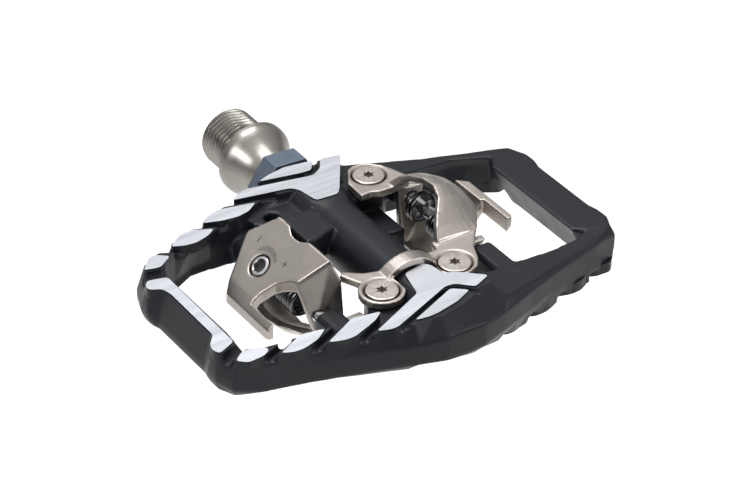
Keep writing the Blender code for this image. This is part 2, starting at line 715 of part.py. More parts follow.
def rear_claw_mesh():
    section = [(-16.9, 11.3), (-30.4, 0.5), (-32.6, -1.8), (-32.9, -4.2), (-30.4, -4.2)]
    section += [(-30.0, -2.6), (-28.6, -1.2), (-18.4, 7.0), (-16.4, 8.4), (-15.9, 10.4)]
    face = outline_mesh(section, 7.4, 34.6, upright=True)
    plan = [(-14.5, 9.4), (-14.5, 30.2), (-17.2, 30.4), (-22.4, 34.9), (-30.8, 29.2), (-33.6, 26.5), (-33.6, 12.0)]
    plan += [(-32.4, 10.0), (-31.2, 10.0), (-31.2, 19.4), (-28.6, 19.0), (-25.8, 17.4), (-24.2, 15.2), (-23.2, 12.6)]
    plan += [(-16.6, 9.4)]
    mesh = combine(face, outline_mesh(plan, -10, 14), "INTERSECT")
    outboard = [(-16.6, 9.6, 10.9), (-23.4, 12.8, 5.6), (-22.8, 6.6, -3.9), (-15.0, 6.6, -3.9), (-15.0, 7.8, 6.6)]
    inboard = [(-17.0, 30.3, 10.7), (-22.4, 34.8, 6.4), (-24.4, 34.9, -3.9), (-17.2, 34.6, -3.9), (-16.0, 32.0, 7.0)]
    mesh = union(mesh, claw_wall(outboard, 1.8), claw_wall(inboard, -1.6))
    x, z = PIN
    mesh = cut(mesh, cylinder_mesh(PIN_RADIUS + GAP, at(x, 0, z), at(x, 40, z), 16))
    mesh = cut(mesh, cylinder_mesh(7.0, at(-10.85, 21.9, 4), at(-10.85, 21.9, 16), 40))
    spot = at(*BOLT_SPOT)
    mesh = cut(mesh, cylinder_mesh(2.75, spot - FACE_NORMAL * 2.0 * MM, spot + FACE_NORMAL * 3 * MM, 24))
    return cut(mesh, cylinder_mesh(1.55, spot - FACE_NORMAL * 6 * MM, spot, 16))


def along_bolt(depth):
    """A point on the tension bolt's axis, at a depth in millimetres under the claw face."""
    return at(*BOLT_SPOT) - FACE_NORMAL * depth * MM


def tension_bolt_mesh():
    head = cylinder_mesh(BOLT_HEAD_RADIUS, along_bolt(1.7), along_bolt(0.1), 24)
    shank = cylinder_mesh(1.2, along_bolt(5.8), along_bolt(1.5), 12)
    socket = cylinder_mesh(3.0 / math.sqrt(3), along_bolt(1.2), along_bolt(-1), 6)
    return cut(union(head, shank), socket)


def adjuster_nut_mesh():
    start, end = along_bolt(5.0), along_bolt(3.4)
    block = cylinder_mesh(2.7, start, end, 4)
    turn = Matrix.Translation(start) @ Matrix.Rotation(math.radians(45), 4, FACE_NORMAL) @ Matrix.Translation(-start)
    return cut(moved(block, turn), cylinder_mesh(1.5, along_bolt(7), along_bolt(2), 16))


def spring_mesh(first, last):
    """A torsion coil round the claw pin, with a short straight leg at each end."""
    x, z = PIN
    pitch = 2 * SPRING_WIRE + GAP
    turns = (last - first) / pitch
    steps = 10
    points = []
    for k in range(int(turns * steps) + 1):
        angle = math.tau * k / steps + 2.2
        points.append((x + SPRING_RADIUS * math.cos(angle), first + pitch * k / steps, z + SPRING_RADIUS * math.sin(angle)))
    curve = bpy.data.curves.new("coil", "CURVE")
    curve.dimensions = "3D"
    curve.bevel_depth = SPRING_WIRE * MM
    curve.bevel_resolution = 2
    curve.use_fill_caps = True
    spline = curve.splines.new("POLY")
    spline.points.add(len(points) - 1)
    for point, place in zip(spline.points, points):
        point.co = (*at(*place), 1.0)
    obj = bpy.data.objects.new("coil", curve)
    CUTTERS.objects.link(obj)
    return settle(obj)


def build_rear_claws():
    x, z = PIN
    pin_ends = at(x, PIN_ENDS[0], z), at(x, PIN_ENDS[1], z)
    axis = (x, MID_STATION, z)
    add_both("rear_claw_{}", rear_claw_mesh, "claw_steel", axis)
    add_both("claw_pin_{}", lambda: cylinder_mesh(PIN_RADIUS, *pin_ends, 16), "bright_steel", axis)
    add_both("tension_bolt_{}", tension_bolt_mesh, "bright_steel", BOLT_SPOT)
    add_both("adjuster_nut_{}", adjuster_nut_mesh, "bright_steel", BOLT_SPOT)
    for side, ends in SPRINGS.items():
        add_both("claw_spring_{}_" + side, lambda ends=ends: spring_mesh(*ends), "spring_steel", axis)


add_part("pedal_body", body_mesh(), "body_coat")
build_spindle_group()
build_front_claws()
build_rear_claws()
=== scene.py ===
"""Looks of the clipless pedal: finished surfaces, materials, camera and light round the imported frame."""
import json
import math

import bmesh
import bpy
from mathutils import Matrix, Vector
from mathutils.bvhtree import BVHTree


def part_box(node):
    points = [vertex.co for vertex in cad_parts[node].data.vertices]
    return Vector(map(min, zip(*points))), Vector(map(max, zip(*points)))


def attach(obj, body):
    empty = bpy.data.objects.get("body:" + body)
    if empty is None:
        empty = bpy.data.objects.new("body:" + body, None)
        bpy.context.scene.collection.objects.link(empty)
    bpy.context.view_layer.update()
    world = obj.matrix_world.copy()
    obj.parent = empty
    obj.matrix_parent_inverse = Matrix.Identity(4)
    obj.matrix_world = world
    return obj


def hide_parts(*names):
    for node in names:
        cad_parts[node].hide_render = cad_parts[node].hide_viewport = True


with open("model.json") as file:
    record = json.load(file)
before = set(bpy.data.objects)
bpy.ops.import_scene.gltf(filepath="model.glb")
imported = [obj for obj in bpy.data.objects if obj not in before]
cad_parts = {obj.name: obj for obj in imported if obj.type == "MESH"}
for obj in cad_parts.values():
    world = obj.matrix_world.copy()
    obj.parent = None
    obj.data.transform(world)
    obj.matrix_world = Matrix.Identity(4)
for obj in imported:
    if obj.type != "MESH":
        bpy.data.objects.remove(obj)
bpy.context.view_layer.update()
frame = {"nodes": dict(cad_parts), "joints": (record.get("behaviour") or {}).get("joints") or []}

MM = 0.001
MID_STATION = 31.0
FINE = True

# Body
DECK_EDGE = 6.97
DECK_END = 11.5
PLANED_DECK = 6.7
FACET_TOP = 6.98
FACET_BASE = 4.3
FACET_CORNER = 0.9
DECK_LIFT = 0.9
BORE_CLEAR = 5.95
BORE_SPAN = (-16, 60)
FORGED_STEP = 0.36 if FINE else 0.7

# Spindle group
THREAD_RADIUS = 7.14
THREAD_DEPTH = 0.72
THREAD_PITCH = 1.27
THREAD_START = 80.3
THREAD_STOP = 69.6
THREAD_END = 80.88
FLANGE_RADIUS = 9.28
FLANGE_STATION = 68.65
SOCKET_ACROSS_FLATS = 8.0
SOCKET_DEPTH = 6

# Binding
PLATE_TOP = 6.52
SCREW_HEAD_RADIUS = 3.7
SCREW_HEAD_SINK = 0.03
SCREW_LOBES = 6
SEAT_RADIUS = 3.95
CLAW_STEP = 0.2 if FINE else 0.4
BOLT_HEAD_RADIUS = 2.42
BOLT_HOLE_RADIUS = 2.75
BOLT_SOCKET_RADIUS = 1.74
MARK_DEPTH = 0.15
MARK_HEIGHT = 0.03
TICKS = 17
SPRING_WIRE = 0.54
SPRING_RADIUS = 3.4
SPRING_GAP = 0.24
SPRING_START = 2.2

HALF_TURN = Matrix.Rotation(math.pi, 4, "Y")
SIDES = {"top": Matrix.Identity(4), "bottom": HALF_TURN}
CAD = frame["nodes"]


def at(x, station, z):
    """The frame's point, in metres, for x and z in millimetres at a station along the spindle."""
    return Vector((x, station - MID_STATION, z)) * MM


# ---------------------------------------------------------------- materials


class Finish:
    """A Principled material with procedural detail, built one layer at a time."""

    def __init__(self, name, colour, metallic, roughness, specular=0.5):
        self.material = bpy.data.materials.new(name)
        self.material.use_nodes = True
        self.tree = self.material.node_tree
        self.shader = self.tree.nodes["Principled BSDF"]
        self.shader.inputs["Metallic"].default_value = metallic
        self.shader.inputs["Specular IOR Level"].default_value = specular
        self.shader.inputs["Base Color"].default_value = (*colour, 1.0)
        self.shader.inputs["Roughness"].default_value = roughness
        self.colour = colour
        self.roughness = roughness
        self.base = None
        self.normal = None
        self.coordinates = self.node("ShaderNodeTexCoord").outputs["Object"]

    def node(self, kind, **settings):
        made = self.tree.nodes.new(kind)
        for key, value in settings.items():
            setattr(made, key, value)
        return made

    def link(self, output, target):
        self.tree.links.new(output, target)

    def stretched(self, scale):
        mapping = self.node("ShaderNodeMapping")
        mapping.inputs["Scale"].default_value = scale
        self.link(self.coordinates, mapping.inputs["Vector"])
        return mapping.outputs["Vector"]

    def noise(self, scale, detail=3.0, stretch=(1, 1, 1)):
        texture = self.node("ShaderNodeTexNoise")
        texture.inputs["Scale"].default_value = scale
        texture.inputs["Detail"].default_value = detail
        self.link(self.stretched(stretch), texture.inputs["Vector"])
        return texture.outputs["Fac"]

    def spread(self, value, low, high):
        """The value, which lies about 0.3 to 0.7, stretched to run from low to high."""
        ramp = self.node("ShaderNodeMapRange")
        ramp.inputs["From Min"].default_value = 0.3
        ramp.inputs["From Max"].default_value = 0.7
        ramp.inputs["To Min"].default_value = low
        ramp.inputs["To Max"].default_value = high
        self.link(value, ramp.inputs["Value"])
        return ramp.outputs["Result"]

    def vary_roughness(self, scale, amount, stretch=(1, 1, 1)):
        value = self.noise(scale, 4.0, stretch)
        rough = self.spread(value, max(0.02, self.roughness - amount), self.roughness + amount)
        self.link(rough, self.shader.inputs["Roughness"])
        return self

    def vary_colour(self, scale, amount, stretch=(1, 1, 1)):
        mix = self.node("ShaderNodeMix", data_type="RGBA")
        mix.inputs["A"].default_value = (*(c * (1 - amount) for c in self.colour), 1.0)
        mix.inputs["B"].default_value = (*(min(1.0, c * (1 + amount)) for c in self.colour), 1.0)
        self.link(self.spread(self.noise(scale, 3.0, stretch), 0.0, 1.0), mix.inputs["Factor"])
        self.link(mix.outputs["Result"], self.shader.inputs["Base Color"])
        self.base = mix.outputs["Result"]
        return self

    def wear(self, colour, low=0.53, high=0.62):
        """Lighter, rubbed metal on convex edges, over the colours that vary_colour made."""
        pointed = self.node("ShaderNodeNewGeometry").outputs["Pointiness"]
        mask = self.node("ShaderNodeMapRange")
        mask.inputs["From Min"].default_value = low
        mask.inputs["From Max"].default_value = high
        self.link(pointed, mask.inputs["Value"])
        mix = self.node("ShaderNodeMix", data_type="RGBA")
        mix.inputs["B"].default_value = (*colour, 1.0)
        self.link(mask.outputs["Result"], mix.inputs["Factor"])
        self.link(self.base, mix.inputs["A"])
        self.link(mix.outputs["Result"], self.shader.inputs["Base Color"])
        self.base = mix.outputs["Result"]
        return self

    def bump(self, scale, distance, detail=2.0, stretch=(1, 1, 1)):
        bump = self.node("ShaderNodeBump")
        bump.inputs["Distance"].default_value = distance
        self.link(self.noise(scale, detail, stretch), bump.inputs["Height"])
        if self.normal is not None:
            self.link(self.normal, bump.inputs["Normal"])
        self.normal = bump.outputs["Normal"]
        self.link(self.normal, self.shader.inputs["Normal"])
        return self


def coat_finish():
    """Satin blue-black coat over a forged skin."""
    finish = Finish("satin_coat", (0.0065, 0.0078, 0.0105), 0.0, 0.4, specular=0.24)
    finish.vary_colour(60, 0.12).vary_roughness(160, 0.05)
    return finish.bump(2600, 0.00002, 3.0).bump(220, 0.00003, 2.0).material


def facet_finish():
    """Machined and brushed alloy, lines along the cage."""
    finish = Finish("machined_facets", (0.56, 0.575, 0.62), 0.85, 0.34)
    finish.vary_colour(400, 0.05, (0.06, 1.0, 1.0)).vary_roughness(900, 0.07, (0.03, 1.0, 1.0))
    return finish.bump(3500, 0.000012, 2.0, (0.02, 1.0, 1.0)).material


def blasted_finish(name, colour, roughness):
    """Bead-blasted, plated steel."""
    finish = Finish(name, colour, 1.0, roughness)
    finish.vary_colour(120, 0.06).vary_roughness(300, 0.05).wear((0.55, 0.52, 0.49), 0.55, 0.7)
    return finish.bump(4200, 0.000025, 2.0).bump(300, 0.00003, 2.0).material


def turned_finish():
    """Steel turned on a lathe: fine rings round the spindle axis."""
    finish = Finish("turned_steel", (0.27, 0.255, 0.235), 1.0, 0.3)
    finish.vary_colour(300, 0.06, (0.02, 1.0, 0.02)).vary_roughness(700, 0.06, (0.02, 1.0, 0.02))
    finish.wear((0.4, 0.385, 0.36), 0.55, 0.7)
    return finish.bump(2400, 0.000014, 2.0, (0.01, 1.0, 0.01)).material


def bright_finish():
    finish = Finish("bright_steel", (0.6, 0.6, 0.62), 1.0, 0.2)
    return finish.vary_colour(300, 0.06).vary_roughness(500, 0.06).bump(1800, 0.00001).material


def spring_finish():
    finish = Finish("oiled_spring_steel", (0.1, 0.1, 0.105), 1.0, 0.24)
    return finish.vary_colour(500, 0.3).vary_roughness(700, 0.08).bump(2500, 0.00001).material


def anodised_finish():
    finish = Finish("blue_grey_anodising", (0.17, 0.21, 0.27), 0.9, 0.34)
    return finish.vary_colour(200, 0.06).vary_roughness(500, 0.06).bump(3000, 0.00001).material


def rubber_finish():
    finish = Finish("seal_rubber", (0.018, 0.018, 0.018), 0.0, 0.7)
    return finish.vary_colour(300, 0.2).vary_roughness(500, 0.1).bump(1500, 0.00002).material


def resin_finish():
    finish = Finish("bush_resin", (0.05, 0.05, 0.055), 0.0, 0.5)
    return finish.vary_colour(300, 0.15).vary_roughness(400, 0.08).bump(1200, 0.00002).material


# Dark etched colour for the tension scale marks; the bolts also use it as painted shade inside their hex
# sockets.
def mark_and_socket_shade_finish():
    finish = Finish("etched_mark_and_painted_socket_shade", (0.03, 0.028, 0.026), 0.2, 0.6)
    return finish.vary_colour(900, 0.2).vary_roughness(900, 0.1).bump(4000, 0.00001).material


COAT = coat_finish()
FACET = facet_finish()
CLAW = blasted_finish("blasted_steel", (0.4, 0.365, 0.335), 0.36)
SCREW = blasted_finish("screw_steel", (0.43, 0.395, 0.36), 0.34)
TURNED = turned_finish()
BRIGHT = bright_finish()
SPRING = spring_finish()
ANODISED = anodised_finish()
RUBBER = rubber_finish()
RESIN = resin_finish()
MARK_AND_SOCKET_SHADE = mark_and_socket_shade_finish()


# ---------------------------------------------------------------- mesh helpers


def new_piece(name, mesh, *materials, sharp=40):
    """A visible object, smooth except over edges sharper than that many degrees."""
    obj = bpy.data.objects.new(name, mesh)
    bpy.context.scene.collection.objects.link(obj)
    mesh.materials.clear()
    for material in materials:
        mesh.materials.append(material)
    mesh.shade_smooth()
    mesh.set_sharp_from_angle(angle=math.radians(sharp))
    return obj


def cad_mesh(node):
    """A welded copy of a CAD node's mesh."""
    mesh = CAD[node].data.copy()
    shape = bmesh.new()
    shape.from_mesh(mesh)
    bmesh.ops.remove_doubles(shape, verts=shape.verts, dist=2e-6)
    shape.to_mesh(mesh)
    shape.free()
    return mesh


def with_modifiers(mesh, *modifiers):
    """The mesh after a list of (type, settings) modifiers."""
    obj = bpy.data.objects.new("work", mesh)
    bpy.context.scene.collection.objects.link(obj)
    for kind, settings in modifiers:
        modifier = obj.modifiers.new(kind, kind)
        for key, value in settings.items():
            setattr(modifier, key, value)
    bpy.context.view_layer.update()
    graph = bpy.context.evaluated_depsgraph_get()
    result = bpy.data.meshes.new_from_object(obj.evaluated_get(graph))
    bpy.data.objects.remove(obj, do_unlink=True)
    return result


def cut_by(mesh, other):
    """The mesh with the other mesh's space cut away."""
    tool = bpy.data.objects.new("tool", other)
    bpy.context.scene.collection.objects.link(tool)
    result = with_modifiers(mesh, ("BOOLEAN", {"operation": "DIFFERENCE", "object": tool}))
    bpy.data.objects.remove(tool, do_unlink=True)
    return result


def rounded(mesh, step, rounds):
    """The shape with its edges rounded as a forging or pressing has them."""
    remesh = ("REMESH", {"mode": "VOXEL", "voxel_size": step * MM, "use_smooth_shade": True})
    return with_modifiers(mesh, remesh, ("SMOOTH", {"factor": 0.5, "iterations": rounds}))


def cylinder(radius, start, end, sides):
    """A cylinder or, with few sides, a prism between two points in metres."""
    axis = end - start
    turn = axis.to_track_quat("Z", "X").to_matrix().to_4x4()
    shape = bmesh.new()
    bmesh.ops.create_cone(
        shape,
        cap_ends=True,
        segments=sides,
        radius1=radius * MM,
        radius2=radius * MM,
        depth=axis.length,
        matrix=Matrix.Translation((start + end) / 2) @ turn,
    )
    mesh = bpy.data.meshes.new("cylinder")
    shape.to_mesh(mesh)
    shape.free()
    return mesh


def skinned(shape, rings, steps, name):
    """The mesh of faces between each ring of vertices and the next. A ring may be one point, on the axis."""
    for first, second in zip(rings, rings[1:]):
        for k in range(steps):
            m = (k + 1) % steps
            near = (first[k % len(first)], first[m % len(first)])
            far = (second[m % len(second)], second[k % len(second)])
            shape.faces.new(list(dict.fromkeys(near + far)))
    bmesh.ops.recalc_face_normals(shape, faces=shape.faces)
    mesh = bpy.data.meshes.new(name)
    shape.to_mesh(mesh)
    shape.free()
    return mesh


def lathe(profile, steps, place):
    """A profile of (radius, height), both in millimetres, turned about place's Z axis."""
    shape = bmesh.new()
    rings = []
    for radius, height in profile:
        if radius <= 0:
            rings.append([shape.verts.new(place @ Vector((0, 0, height * MM)))])
            continue
        angles = (math.tau * k / steps for k in range(steps))
        points = (Vector((radius * MM * math.cos(a), radius * MM * math.sin(a), height * MM)) for a in angles)
        rings.append([shape.verts.new(place @ point) for point in points])
    return skinned(shape, rings, steps, "lathe")


def prism(outline, place, low, high):
    """A flat outline of (x, y) in millimetres in place's XY plane, given height along its Z axis."""
    shape = bmesh.new()
    floor = [shape.verts.new(place @ Vector((x * MM, y * MM, low * MM))) for x, y in outline]
    roof = [shape.verts.new(place @ Vector((x * MM, y * MM, high * MM))) for x, y in outline]
    shape.faces.new(floor[::-1])
    shape.faces.new(roof)
    for k in range(len(outline)):
        m = (k + 1) % len(outline)
        shape.faces.new((floor[k], floor[m], roof[m], roof[k]))
    bmesh.ops.recalc_face_normals(shape, faces=shape.faces)
    mesh = bpy.data.meshes.new("prism")
    shape.to_mesh(mesh)
    shape.free()
    return mesh


def joined(meshes):
    """One mesh that holds all of them, still as loose parts."""
    shape = bmesh.new()
    for mesh in meshes:
        shape.from_mesh(mesh)
    result = bpy.data.meshes.new("joined")
    shape.to_mesh(result)
    shape.free()
    return result


def facing(point, normal):
    """A frame at a point with its Z axis along the normal and its X axis toward the outboard end."""
    up = normal.normalized()
    outboard = Vector((0, -1, 0))
    third = up.cross(outboard).normalized()
    turn = Matrix((outboard, third, up)).transposed().to_4x4()
    return Matrix.Translation(point) @ turn


def dress(node, material, bevel=None):
    """A CAD node that keeps its shape: its finish and, if asked, broken edges."""
    obj = CAD[node]
    obj.data.materials.clear()
    obj.data.materials.append(material)
    if bevel:
        weld = obj.modifiers.new("weld", "WELD")
        weld.merge_threshold = 2e-6
        edge = obj.modifiers.new("edge", "BEVEL")
        edge.width = bevel * MM
        edge.segments = 2
        edge.limit_method = "ANGLE"
        edge.angle_limit = math.radians(32)


# ---------------------------------------------------------------- body


# Outlines of the machined facets on the top deck, as (x, station), from the cage's inboard arm round to the
# outboard one. The bottom deck has the same ones after half a turn.
FACETS = [
    [(-49.4, 34.1), (-45.7, 33.1), (-41.8, 35.6), (-44.2, 37.7), (-46.2, 37.5)],
    [(-39.8, 38.6), (-37.0, 37.3), (-34.3, 36.9), (-30.7, 37.8), (-28.2, 39.4), (-33.0, 41.8), (-35.6, 41.6)],
    [(-29.4, 42.7), (-24.9, 41.1), (-21.2, 40.5), (-18.0, 41.1), (-14.9, 43.2), (-23.3, 45.3), (-26.4, 44.6)],
    [
        (-18.8, 46.8), (-5.2, 43.8), (-3.9, 42.0), (-3.0, 36.5), (2.6, 36.0), (4.2, 37.8), (11.9, 49.2),
        (7.0, 50.3), (4.9, 47.0), (2.0, 45.4), (-14.0, 49.1), (-16.0, 48.5),
    ],
    [(-9.8, 50.0), (-0.1, 47.8), (2.8, 47.5), (5.2, 50.7), (-2.0, 51.9), (-6.8, 51.1)],
    [
        (-52.3, 28.4), (-52.0, 27.0), (-49.6, 25.8), (-49.0, 23.1), (-49.2, 5.5), (-51.6, 2.7), (-52.1, 0.9),
        (-51.4, -1.0), (-46.8, 1.0), (-46.4, 29.0), (-50.9, 30.2),
    ],
    [(-50.0, -5.1), (-47.4, -3.1), (-45.6, -3.0), (-42.1, -4.5), (-42.2, -5.8), (-44.2, -6.8), (-48.0, -7.0)],
    [(-40.6, -8.0), (-33.7, -4.7), (-28.1, -5.8), (-31.3, -8.1), (-35.4, -9.3), (-38.0, -9.2)],
    [(-30.2, -10.3), (-21.2, -5.8), (-14.7, -7.2), (-17.5, -9.2), (-24.4, -11.7), (-27.0, -11.5)],
    [
        (-19.4, -12.6), (-4.4, -5.9), (-2.6, 1.6), (2.9, 2.8), (4.1, 1.2), (4.6, -2.8), (7.1, -3.8),
        (12.4, -8.8), (7.6, -10.8), (4.5, -7.5), (2.2, -7.1), (-14.8, -13.8), (-16.6, -13.7),
    ],
    [(-10.4, -13.8), (2.6, -8.4), (5.8, -11.1), (1.1, -13.1), (-4.6, -14.3), (-7.6, -14.4)],
]


def deck_side(point):
    """1 on the top deck, -1 on the bottom deck and 0 elsewhere."""
    for side in (1, -1):
        if point.z * side > DECK_EDGE * MM and point.x * side < DECK_END * MM:
            return side
    return 0


def body_mesh():
    """The forging: the CAD shape with rounded edges, its decks lifted, then planed just under the facets."""
    mesh = cad_mesh("pedal_body")
    for vert in mesh.vertices:
        vert.co.z += deck_side(vert.co) * DECK_LIFT * MM
    mesh = rounded(mesh, FORGED_STEP, 9 if FINE else 3)
    shape = bmesh.new()
    shape.from_mesh(mesh)
    for side in (1, -1):
        everything = [*shape.verts, *shape.edges, *shape.faces]
        plane = Vector((0, 0, PLANED_DECK * MM * side))
        cut = bmesh.ops.bisect_plane(
            shape, geom=everything, plane_co=plane, plane_no=(0, 0, side), clear_outer=True, dist=1e-8
        )
        edges = [item for item in cut["geom_cut"] if isinstance(item, bmesh.types.BMEdge)]
        bmesh.ops.triangle_fill(shape, edges=edges, use_beauty=True, normal=(0, 0, side))
    bmesh.ops.recalc_face_normals(shape, faces=shape.faces)
    shape.to_mesh(mesh)
    shape.free()
    return mesh


def filleted(outline, radius):
    """The outline with each corner replaced by a short curve that starts and ends a radius away from it."""
    corners = [Vector(point) for point in outline]
    curve = []
    for k, corner in enumerate(corners):
        before, after = corners[k - 1] - corner, corners[(k + 1) % len(corners)] - corner
        start = corner + before.normalized() * min(radius, before.length * 0.45)
        end = corner + after.normalized() * min(radius, after.length * 0.45)
        for step in range(5):
            t = step / 4
            curve.append(start * (1 - t) ** 2 + corner * 2 * t * (1 - t) + end * t**2)
    return [tuple(point) for point in curve]


def build_body():
    """The forging and, on each deck, the silver facets with their coated sides."""
    body = new_piece("forged_body", body_mesh(), COAT, sharp=32)
    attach(body, "pedal")
    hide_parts("pedal_body")
    bore_start, bore_end = (at(0, station, 0) for station in BORE_SPAN)
    outlines = [filleted(outline, FACET_CORNER) for outline in FACETS]
    for side, turn in SIDES.items():
        deck = turn @ Matrix.Translation((0, -MID_STATION * MM, 0))
        slabs = [prism(outline, deck, FACET_BASE, FACET_TOP) for outline in outlines]
        mesh = cut_by(joined(slabs), cylinder(BORE_CLEAR, bore_start, bore_end, 96))
        facets = new_piece("machined_facets_" + side, mesh, COAT, FACET, sharp=20)
        for face in facets.data.polygons:
            face.material_index = int(abs(face.center.z) > (FACET_TOP - 0.01) * MM)
        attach(facets, "pedal")


# ---------------------------------------------------------------- spindle group


def spindle_mesh():
    """The spindle with a real helical thread, lofted ring by ring."""
    steps = 96 if FINE else 48
    rows_per_turn = 14 if FINE else 8

    def thread_radius(station, angle):
        phase = (station / THREAD_PITCH - angle / math.tau) % 1.0
        ridge = max(0.0, min(1.0, (abs(phase - 0.5) * 2 - 0.12) / 0.76))
        rise = min(1.0, max(0.0, (THREAD_START - station) / 0.5))
        fall = min(1.0, max(0.0, (station - THREAD_STOP) / 0.6))
        fade = rise * fall
        return THREAD_RADIUS - THREAD_DEPTH * (1 - fade + fade * ridge)

    count = int((THREAD_START - THREAD_STOP) / THREAD_PITCH * rows_per_turn) + 6
    length = THREAD_START - THREAD_STOP + 0.4
    stations = [THREAD_START + 0.2 - length * k / count for k in range(count + 1)]
    plain = [
        (6.3, FLANGE_STATION + 0.4),
        (6.5, FLANGE_STATION),
        (FLANGE_RADIUS - 0.2, FLANGE_STATION),
        (FLANGE_RADIUS, FLANGE_STATION - 0.2),
        (FLANGE_RADIUS, FLANGE_STATION - 1.3),
        (9.12, FLANGE_STATION - 2.0),
        (8.7, FLANGE_STATION - 2.9),
        (8.1, FLANGE_STATION - 3.8),
        (7.4, FLANGE_STATION - 4.9),
        (6.8, FLANGE_STATION - 6.0),
        (6.3, FLANGE_STATION - 7.1),
        (5.9, FLANGE_STATION - 8.3),
        (5.65, FLANGE_STATION - 9.5),
        (5.58, 58.4),
        (4.0, 58.35),
        (4.0, 24.0),
        (2.3, 19.5),
        (2.3, -8.1),
    ]
    shape = bmesh.new()

    def ring(radius_at, station):
        angles = [math.tau * k / steps for k in range(steps)]
        spots = [(radius_at(station, a) * math.cos(a), radius_at(station, a) * math.sin(a)) for a in angles]
        return [shape.verts.new(at(x, station, z)) for x, z in spots]

    rings = [[shape.verts.new(at(0, THREAD_END, 0))], ring(lambda s, a: 6.0, THREAD_END)]
    rings += [ring(thread_radius, station) for station in stations]
    rings += [ring(lambda s, a, r=radius: r, station) for radius, station in plain]
    rings.append([shape.verts.new(at(0, plain[-1][1], 0))])
    mesh = skinned(shape, rings, steps, "spindle")
    socket_start, socket_end = at(0, THREAD_END - SOCKET_DEPTH, 0), at(0, THREAD_END + 1, 0)
    return cut_by(mesh, cylinder(SOCKET_ACROSS_FLATS / math.sqrt(3), socket_start, socket_end, 6))


def build_spindle_group():
    spindle = new_piece("turned_spindle", spindle_mesh(), TURNED, sharp=28)
    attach(spindle, "spindle_unit")
    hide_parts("spindle")
    dress("lock_bolt", ANODISED, bevel=0.35)
    dress("axle_seal", RUBBER, bevel=0.12)
    dress("axle_bush", RESIN, bevel=0.15)
    for node in ("bearing_cup", "ball_ring_inner", "ball_ring_outer", "bearing_cone", "lock_nut"):
        dress(node, BRIGHT)


# ---------------------------------------------------------------- front claws


def lobes(radius, depth):
    """The outline of a lobed socket: a circle with rounded waves."""
    points = []
    for k in range(SCREW_LOBES * 8):
        angle = math.tau * k / (SCREW_LOBES * 8)
        points.append((radius + depth * math.cos(SCREW_LOBES * angle), angle))
    return [(r * math.cos(a), r * math.sin(a)) for r, a in points]


def screw_mesh(place):
    """A countersunk screw head with its six-lobed socket, and the shank under it. Zero height is its face."""
    r = SCREW_HEAD_RADIUS
    head = [(0, 0), (r - 0.28, 0), (r - 0.08, -0.06), (r, -0.2), (r, -0.35)]
    shank = [(1.8, -1.75), (1.5, -2.0), (1.5, -6.0), (0, -6.0)]
    socket = prism(lobes(1.12, 0.26), place, -1.2, 0.5)
    return cut_by(lathe(head + shank, 64, place), socket)


def build_front_claw(side):
    """The pressed plate with its countersinks, and its three screws."""
    sign = 1 if side == "top" else -1
    mesh = rounded(cad_mesh("front_claw_" + side), CLAW_STEP, 6 if FINE else 2)
    for number in (1, 2, 3):
        node = f"claw_screw_{side}_{number}"
        low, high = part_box(node)
        middle = (low + high) / 2
        spot = Vector((middle.x, middle.y, sign * (PLATE_TOP - SCREW_HEAD_SINK) * MM))
        place = Matrix.Translation(spot) @ SIDES[side]
        seat = cylinder(SEAT_RADIUS, place @ Vector((0, 0, -1.9 * MM)), place @ Vector((0, 0, 2 * MM)), 64)
        mesh = cut_by(mesh, seat)
        screw = new_piece(f"lobed_screw_{side}_{number}", screw_mesh(place), SCREW, sharp=12)
        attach(screw, "pedal")
        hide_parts(node)
    claw = new_piece("pressed_front_claw_" + side, mesh, CLAW, sharp=50)
    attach(claw, "pedal")
    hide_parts("front_claw_" + side)


# ---------------------------------------------------------------- rear claws


def joint(name):
    """A joint's position in metres and its axis, as the frame gives them."""
    found = next(j for j in frame["joints"] if j["name"] == name)
    return Vector(found["pos_m"]), Vector(found["axis"]).normalized()


def scale_marks(place, claw):
    """Minus, plus and a fan of ticks round the bolt, as thin inlays a hair proud of the claw's face."""
    surface = BVHTree.FromPolygons([v.co for v in claw.vertices], [p.vertices for p in claw.polygons])
    marks = []

    def bar(x, y, angle, length, width):
        turn = place @ Matrix.Translation((x * MM, y * MM, 0)) @ Matrix.Rotation(angle, 4, "Z")
        hit = surface.ray_cast(turn @ Vector((0, 0, 3 * MM)), turn.to_3x3() @ Vector((0, 0, -1)))[0]
        level = (turn.inverted() @ hit).z / MM
        half, thick = length / 2, width / 2
        outline = [(-half, -thick), (half, -thick), (half, thick), (-half, thick)]
        marks.append(prism(outline, turn, level - MARK_DEPTH, level + MARK_HEIGHT))

    for k in range(TICKS):
        angle = math.radians(44 + 100 * k / (TICKS - 1))
        swell = math.sin(math.pi * k / (TICKS - 1))
        length = 0.75 + 0.65 * swell
        reach = 4.55 - length / 2 + 0.35 * swell
        bar(reach * math.cos(angle), reach * math.sin(angle), angle, length, 0.13)
    bar(-5.3, 4.3, math.radians(95), 1.5, 0.2)
    bar(5.7, 3.9, math.radians(5), 1.4, 0.2)
    bar(5.7, 3.9, math.radians(95), 1.4, 0.2)
    return joined(marks)


def bolt_mesh(place):
    """The tension bolt: a domed head with a hexagon socket. Zero height is the claw's face."""
    r = BOLT_HEAD_RADIUS
    head = [(0, 0.0), (r - 0.45, 0.0), (r - 0.12, -0.12), (r, -0.42), (r, -1.7)]
    shank = [(1.2, -1.75), (1.2, -5.7), (0, -5.7)]
    mesh = lathe(head + shank, 64, place)
    angles = [math.tau * k / 6 + 0.3 for k in range(6)]
    hexagon = [(BOLT_SOCKET_RADIUS * math.cos(a), BOLT_SOCKET_RADIUS * math.sin(a)) for a in angles]
    dish = lathe([(0, 1), (1.75, 1), (1.75, 0.02), (1.45, -0.22), (0, -0.22)], 48, place)
    return cut_by(cut_by(mesh, dish), prism(hexagon, place, -1.35, 0.5))


